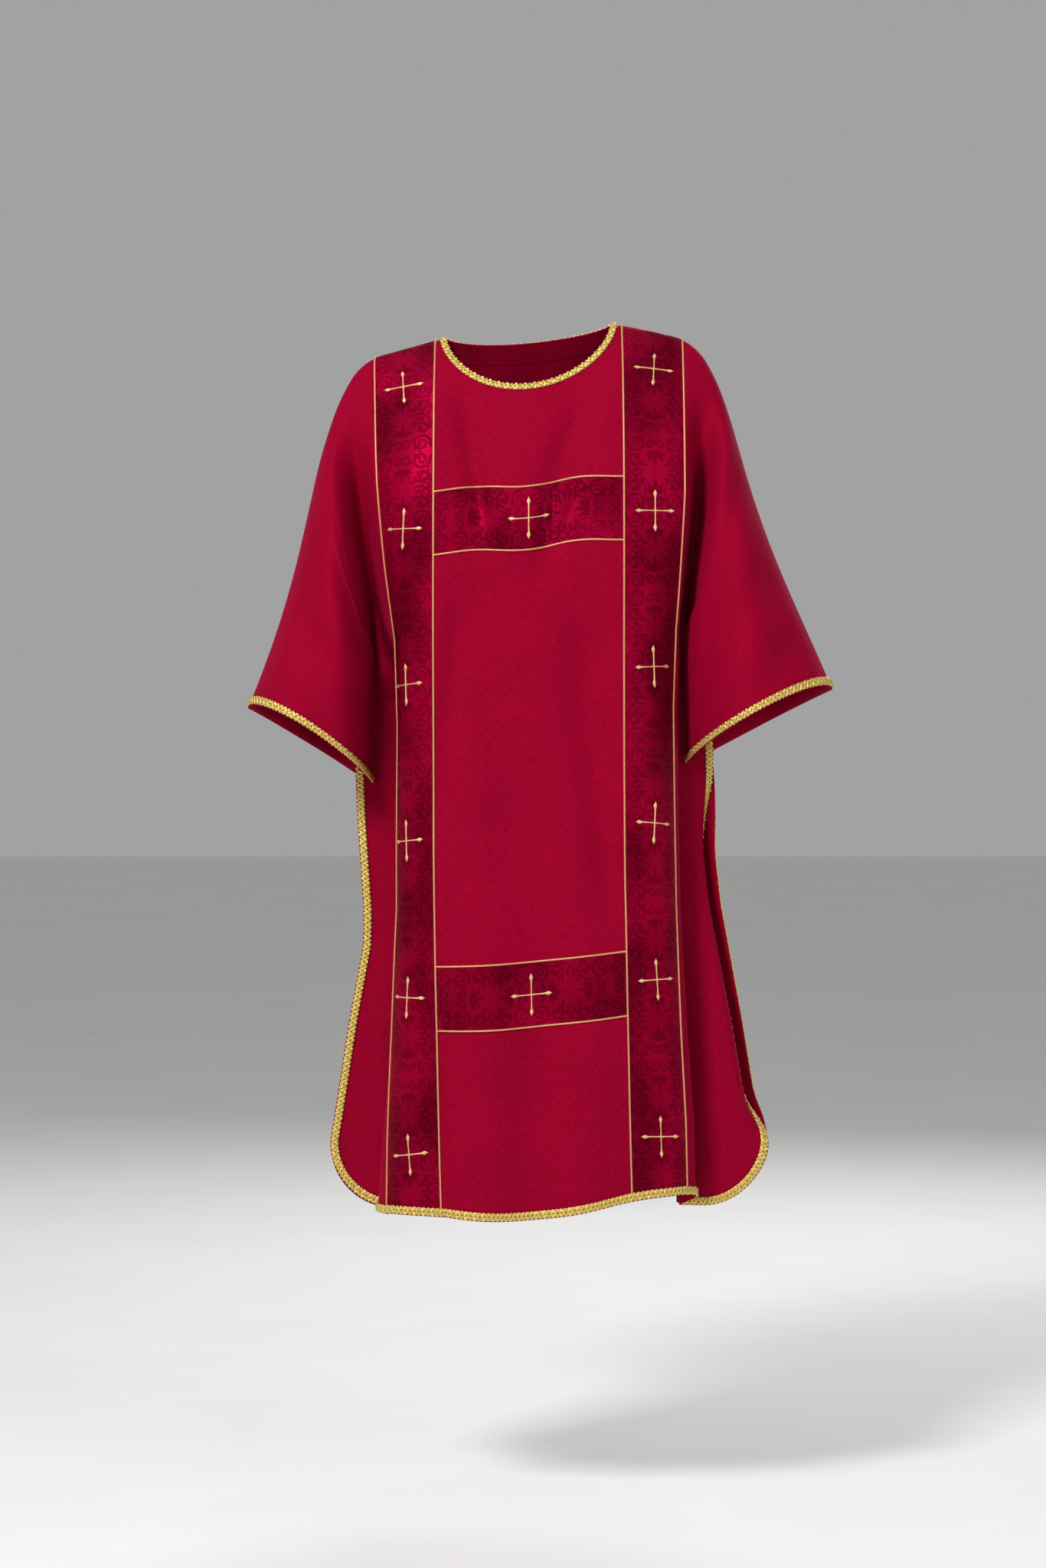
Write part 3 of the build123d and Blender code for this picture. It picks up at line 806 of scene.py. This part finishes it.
def cross_parts(u0, v0, side, tilt=0.0):
    """One embroidered cross: four thin raised arms that end in pointed buds."""
    reach, across = np.meshgrid(np.linspace(0, 1, 41), np.linspace(-1, 1, 9), indexing="ij")
    along, off = CROSS_HALF * reach, table(CROSS_PROFILE, reach) * across
    crown = CROSS_LIFT + CROSS_CROWN * np.sqrt(np.clip(1 - across ** 2, 0, 1))
    lift = np.where(np.abs(across) > 0.99, 0.0, crown)
    parts = []
    for k in range(4):
        heading = math.pi / 2 * k + tilt
        u = u0 + along * math.cos(heading) - off * math.sin(heading)
        v = v0 + along * math.sin(heading) + off * math.cos(heading)
        points = cloth_at(u, v, side, lift)[0]
        parts.append((points.reshape(-1, 3), lattice_faces(*u.shape, flip=side == FRONT)))
    return parts


# ---- materials

def material(name, colour, roughness, metallic=0.0, **sockets):
    """A new material, its node tree and its shader."""
    made = bpy.data.materials.new(name)
    made.use_nodes = True
    shader = made.node_tree.nodes["Principled BSDF"]
    shader.inputs["Base Color"].default_value = (*colour, 1)
    shader.inputs["Roughness"].default_value = roughness
    shader.inputs["Metallic"].default_value = metallic
    for key, value in sockets.items():
        shader.inputs[key.replace("_", " ")].default_value = value
    return made, made.node_tree, shader


def node(tree, kind, **settings):
    """A node, with values for its sockets or for its own settings."""
    made = tree.nodes.new(kind)
    for key, value in settings.items():
        if key in made.inputs:
            made.inputs[key].default_value = value
        else:
            setattr(made, key, value)
    return made


def pattern_place(tree, scale):
    """Pattern coordinates, scaled."""
    found = node(tree, "ShaderNodeUVMap", uv_map="pattern")
    scaled = node(tree, "ShaderNodeVectorMath", operation="MULTIPLY")
    scaled.inputs[1].default_value = (*scale, 1)
    tree.links.new(found.outputs["UV"], scaled.inputs[0])
    return scaled.outputs[0]


def noise(tree, where, scale=1.0, detail=3.0, roughness=0.6):
    made = node(tree, "ShaderNodeTexNoise", Scale=scale, Detail=detail, Roughness=roughness)
    tree.links.new(where, made.inputs["Vector"])
    return made.outputs["Fac"]


def ramp(tree, value, stops):
    """A colour for each value, from stops of (value, colour)."""
    made = node(tree, "ShaderNodeValToRGB")
    while len(made.color_ramp.elements) < len(stops):
        made.color_ramp.elements.new(0.5)
    for element, (at, colour) in zip(made.color_ramp.elements, stops):
        element.position = at
        element.color = (*colour, 1)
    tree.links.new(value, made.inputs["Fac"])
    return made.outputs["Color"]


def feed(tree, sockets, values):
    """Links each socket to a value that is an output, or sets it."""
    for socket, given in zip(sockets, values):
        if isinstance(given, bpy.types.NodeSocket):
            tree.links.new(given, socket)
        else:
            socket.default_value = given


def mixed(tree, factor, a, b, blend="MIX"):
    """Two colours mixed by a factor."""
    made = node(tree, "ShaderNodeMix", data_type="RGBA", blend_type=blend)
    feed(tree, [socket for socket in made.inputs if socket.enabled], (factor, a, b))
    return [socket for socket in made.outputs if socket.enabled][0]


def shaded(tree, colour, shade):
    """One colour multiplied by another."""
    return mixed(tree, 1.0, colour, shade, "MULTIPLY")


def maths(tree, operation, a, b):
    """Two values put together by an operation."""
    made = node(tree, "ShaderNodeMath", operation=operation)
    feed(tree, made.inputs, (a, b))
    return made.outputs[0]


def blended(tree, *parts):
    """Sum of values, each given as (value, share)."""
    shares = [maths(tree, "MULTIPLY", value, share) for value, share in parts]
    total = shares[0]
    for share in shares[1:]:
        total = maths(tree, "ADD", total, share)
    return total


def bumped(tree, shader, height, strength, distance):
    """Fine relief on a shader."""
    made = node(tree, "ShaderNodeBump", Strength=strength, Distance=distance)
    tree.links.new(height, made.inputs["Height"])
    tree.links.new(made.outputs["Normal"], shader.inputs["Normal"])


def grey(level):
    return (level, level, level)


def darker(colour, share):
    return [part * share for part in colour]


def cloth_material(name, light, dark):
    """Fine plain weave in two close crimsons, slightly heathered."""
    made, tree, shader = material(name, light, 0.75, Sheen_Weight=0.25, Sheen_Roughness=0.4,
                                  Specular_IOR_Level=0.03)
    shader.inputs["Sheen Tint"].default_value = (1.0, 0.02, 0.16, 1)
    yarn_u = noise(tree, pattern_place(tree, (950, 110)))
    yarn_v = noise(tree, pattern_place(tree, (110, 950)))
    cloud = noise(tree, pattern_place(tree, (9, 9)))
    heather = blended(tree, (yarn_u, 0.5), (yarn_v, 0.5))
    colour = ramp(tree, heather, [(0.40, dark), (0.60, light)])
    shade = ramp(tree, cloud, [(0.3, grey(0.90)), (0.7, grey(1.0))])
    tree.links.new(shaded(tree, colour, shade), shader.inputs["Base Color"])
    bumped(tree, shader, heather, 0.5, 0.0004)
    return made


def satin_material():
    """Damask: bright satin ground with darker matt figures, with painted sheen and shade in slow
    patches.
    """
    made, tree, shader = material("damask_satin", SATIN_BRIGHT, 0.4, 0.38, Anisotropic=0.4,
                                  Specular_IOR_Level=0.08)
    shader.inputs["Specular Tint"].default_value = (1.0, 0.03, 0.15, 1)
    figure = node(tree, "ShaderNodeAttribute", attribute_name="figure").outputs["Fac"]
    threads = noise(tree, pattern_place(tree, (1500, 90)))
    cloud = noise(tree, pattern_place(tree, (26, 8)))
    # painted sheen and shade: slow noise patches darken the satin's colour or brighten it past its own
    painted_sheen_and_shade = noise(tree, pattern_place(tree, (13, 7)), detail=1.0)
    ground = ramp(tree, threads, [(0.3, darker(SATIN_BRIGHT, 0.86)), (0.7, SATIN_BRIGHT)])
    matt = ramp(tree, threads, [(0.3, darker(SATIN_DARK, 0.8)), (0.7, SATIN_DARK)])
    shade = ramp(tree, painted_sheen_and_shade, [(0.38, grey(0.58)), (0.62, grey(1.12))])
    figured = mixed(tree, figure, ground, matt)
    tree.links.new(shaded(tree, figured, shade), shader.inputs["Base Color"])
    rough = maths(tree, "ADD", blended(tree, (figure, 0.10), (cloud, 0.10)), 0.40)
    tree.links.new(rough, shader.inputs["Roughness"])
    bumped(tree, shader, blended(tree, (figure, 0.7), (threads, 0.4)), 0.6, 0.0004)
    return made


def thread_material(name, light, dark, metallic, roughness, scale):
    """Shiny thread, lighter and darker along its length."""
    made, tree, shader = material(name, light, roughness, metallic, Specular_IOR_Level=0.6)
    where = node(tree, "ShaderNodeTexCoord").outputs["Object"]
    grain = noise(tree, where, scale, 4.0, 0.7)
    tree.links.new(ramp(tree, grain, [(0.34, dark), (0.62, light)]), shader.inputs["Base Color"])
    bumped(tree, shader, grain, 0.5, 0.0005)
    return made


CLOTH_LIGHT, CLOTH_DARK = (0.345, 0.0003, 0.0260), (0.225, 0.0002, 0.0150)
SATIN_BRIGHT, SATIN_DARK = (0.30, 0.0008, 0.026), (0.19, 0.0005, 0.015)
CLOTH = cloth_material("crimson_cloth", CLOTH_LIGHT, CLOTH_DARK)
SATIN = satin_material()
BRAID = thread_material("gold_gimp", (0.86, 0.67, 0.20), (0.50, 0.32, 0.06), 0.65, 0.34, 1100)
CORD = thread_material("twisted_cord", (0.80, 0.42, 0.18), (0.50, 0.20, 0.07), 0.25, 0.38, 800)
STITCH = thread_material("cross_embroidery", (0.86, 0.62, 0.27), (0.60, 0.36, 0.12), 0.35, 0.36, 1400)


# ---- the pieces

HANDS = {-1: "left", 1: "right"}
SIDES = {FRONT: "front", BACK: "back"}


def finished(obj, material_made, nodes, hand=0):
    """Gives a piece its material and slot and the nodes it replaces; it moves with the garment, or is
    baked if it has a hand.
    """
    obj.data.materials.clear()
    obj.data.materials.append(material_made)
    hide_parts(*nodes)
    if hand:
        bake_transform(obj)
    else:
        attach(obj, "garment")
    return obj


def make_body():
    """The cloth of front and back, in one piece over the shoulders."""
    body = cloth_lattices("body_cloth", [body_lattice(FRONT), body_lattice(BACK)],
                          thickness=CLOTH_T, weld=True)
    return finished(body, CLOTH, ["front_panel", "back_panel"])


def make_sleeve(hand):
    """A sleeve and the braid round its cuff."""
    name = HANDS[hand]
    lattices = [sleeve_lattice(hand, FRONT), sleeve_lattice(hand, BACK)]
    sleeve = cloth_lattices(f"{name}_sleeve_cloth", lattices, thickness=CLOTH_T, weld=True)
    finished(sleeve, CLOTH, [f"{name}_sleeve"], hand)
    braid = gimp_braid(f"{name}_cuff_gimp", cuff_path(hand), closed=True)
    finished(braid, BRAID, [f"{name}_cuff_braid"], hand)


def make_cords(name, runs):
    """Twisted cords along the labelled runs."""
    cords = []
    for label, run in runs.items():
        cord = twisted_cord(f"{name}_{label}_cord_twist", run)
        cords.append(finished(cord, CORD, [f"{name}_{label}_cord"]))
    return cords


def strip_end(u):
    """Strips and cords end under the edge braid."""
    return hem_v(u) - BRAID_W * 0.8


def clavus_satin(name, middle, side):
    """The damask of a clavus, from the shoulder to the edge braid."""
    across = np.linspace(-CLAVUS_HALF, CLAVUS_HALF, 57)
    u, share = np.meshgrid(middle + across, np.linspace(0, 1, 800))
    v = top_v(u) + (strip_end(u) - top_v(u)) * share
    satin = satin_strip(f"{name}_clavus_satin", u, v, side, u - middle, v - CROSS_TOP)
    return finished(satin, SATIN, [f"{name}_clavus"])


def clavus_crosses(name, middle, side, hand):
    """The crosses down a clavus, each a little out of true."""
    parts = []
    for k in range(CROSS_COUNT):
        tilt = CROSS_TILT * math.sin(2.3 * k + hand)
        parts += cross_parts(middle, CROSS_TOP + k * CROSS_PITCH, side, tilt)
    return finished(joined(f"{name}_crosses_stitched", parts), STITCH, [f"{name}_crosses"])


def make_orphrey(hand, side):
    """A clavus on one side of the garment, with its crosses and cords."""
    name = f"{SIDES[side]}_{HANDS[hand]}"
    middle = hand * CLAVUS_MIDDLE
    satin = clavus_satin(name, middle, side)
    crosses = clavus_crosses(name, middle, side, hand)
    runs = {}
    for label, edge in (("inner", CLAVUS_MIDDLE - CLAVUS_HALF), ("outer", CLAVUS_MIDDLE + CLAVUS_HALF)):
        at = hand * edge
        runs[label] = line((at, float(top_v(at))), (at, float(strip_end(at))), side)
    pieces = [crosses, *make_cords(name, runs)]


def make_band(level, side):
    """A cross band between the clavi, with its cross and cords."""
    name = f"{SIDES[side]}_{level}"
    middle = BANDS[level]
    across = np.linspace(-BAND_END, BAND_END, 171)
    u, v = np.meshgrid(across, middle + np.linspace(-BAND_HALF, BAND_HALF, 57))
    satin = satin_strip(f"{name}_band_satin", u, v, side, v - middle, u)
    finished(satin, SATIN, [f"{name}_band"])
    cross = joined(f"{name}_cross_stitched", cross_parts(0.0, middle, side))
    finished(cross, STITCH, [f"{name}_cross"])
    runs = {label: line((-BAND_END, at), (BAND_END, at), side)
            for label, at in (("top", middle - BAND_HALF), ("bottom", middle + BAND_HALF))}
    make_cords(name, runs)


def make_neck():
    """The neck braid, and the facing turned in under the neckline."""
    path = neck_path()
    gimp = gimp_braid("neck_gimp", path, closed=True, width=NECK_BRAID_W)
    braid = finished(gimp, BRAID, ["neck_braid"])
    path, length = resampled(path, 0.004, True)
    insets = np.linspace(0.0006, FACING_W, 8)
    rows = np.stack([offset_run(path, inset, FACING_LIFT)[0] for inset in insets])
    rows = np.concatenate([rows, rows[:, :1]], axis=1)
    along, down = np.meshgrid(np.linspace(0, length, rows.shape[1]), np.linspace(0, FACING_W, 8))
    uvs = np.stack([along, down], axis=-1)
    facing = new_object("neck_facing_cloth", rows, lattice_faces(*rows.shape[:2]), uvs)
    finished(facing, CLOTH, ["neck_facing"])
    return braid


def make_garment():
    """Every piece, the body first, as the others rest on it."""
    body = make_body()
    for side in (FRONT, BACK):
        for hand in (-1, 1):
            make_orphrey(hand, side)
        for level in BANDS:
            make_band(level, side)
        braid = gimp_braid(f"{SIDES[side]}_edge_gimp", edge_path(side))
        finished(braid, BRAID, [f"{SIDES[side]}_edge_braid"])
    make_neck()
    for hand in (-1, 1):
        make_sleeve(hand)


# ---- stage

FLOOR_Z, FLOOR_HALF = -1.50, 40
CAMERA_AT, CAMERA_LENS, CAMERA_SENSOR = (-0.007, -4.5, -0.582), 80.7, 36


def make_stage():
    """A wide pale floor, well below the hem."""
    corners = [(-1, -1), (1, -1), (1, 1), (-1, 1)]
    points = np.array([(x * FLOOR_HALF, y * FLOOR_HALF, FLOOR_Z) for x, y in corners])
    floor = new_object("floor", points, np.array([(0, 1, 2, 3)]), smooth_shaded=False)
    made, tree, shader = material("pale_floor", (0.86, 0.855, 0.85), 0.8)
    grain = noise(tree, node(tree, "ShaderNodeTexCoord").outputs["Object"], 3.0)
    shades = ramp(tree, grain, [(0.3, (0.84, 0.835, 0.83)), (0.7, (0.87, 0.865, 0.86))])
    tree.links.new(shades, shader.inputs["Base Color"])
    floor.data.materials.append(made)


def area_light(name, location, target, size, power):
    """A square light that faces the target."""
    data = bpy.data.lights.new(name, "AREA")
    data.size, data.energy = size, power
    light = bpy.data.objects.new(name, data)
    light.location = location
    towards = Vector(target) - Vector(location)
    light.rotation_euler = towards.to_track_quat("-Z", "Y").to_euler()
    bpy.context.scene.collection.objects.link(light)


def make_light():
    """A grey room, a key light, a weak fill and a light behind."""
    world = bpy.data.worlds.new("studio")
    world.use_nodes = True
    background = world.node_tree.nodes["Background"]
    background.inputs["Color"].default_value = (1, 1, 1, 1)
    background.inputs["Strength"].default_value = 0.36
    bpy.context.scene.world = world
    area_light("key", (-1.7, -3.0, 2.1), (0, 0, -0.5), 0.9, 150)
    area_light("fill", (2.4, -2.4, 0.6), (0, 0, -0.6), 1.6, 20)
    area_light("back", (0.8, 3.2, 1.5), (0, 0, -0.4), 2.2, 70)


def make_camera():
    """A level camera in front, at half the garment's height."""
    data = bpy.data.cameras.new("camera")
    data.lens, data.sensor_width = CAMERA_LENS, CAMERA_SENSOR
    camera = bpy.data.objects.new("camera", data)
    camera.location = CAMERA_AT
    camera.rotation_euler = (math.radians(90), 0, 0)
    bpy.context.scene.collection.objects.link(camera)
    bpy.context.scene.camera = camera
    bpy.context.scene.view_settings.view_transform = "Standard"


make_garment()
make_stage()
make_light()
make_camera()
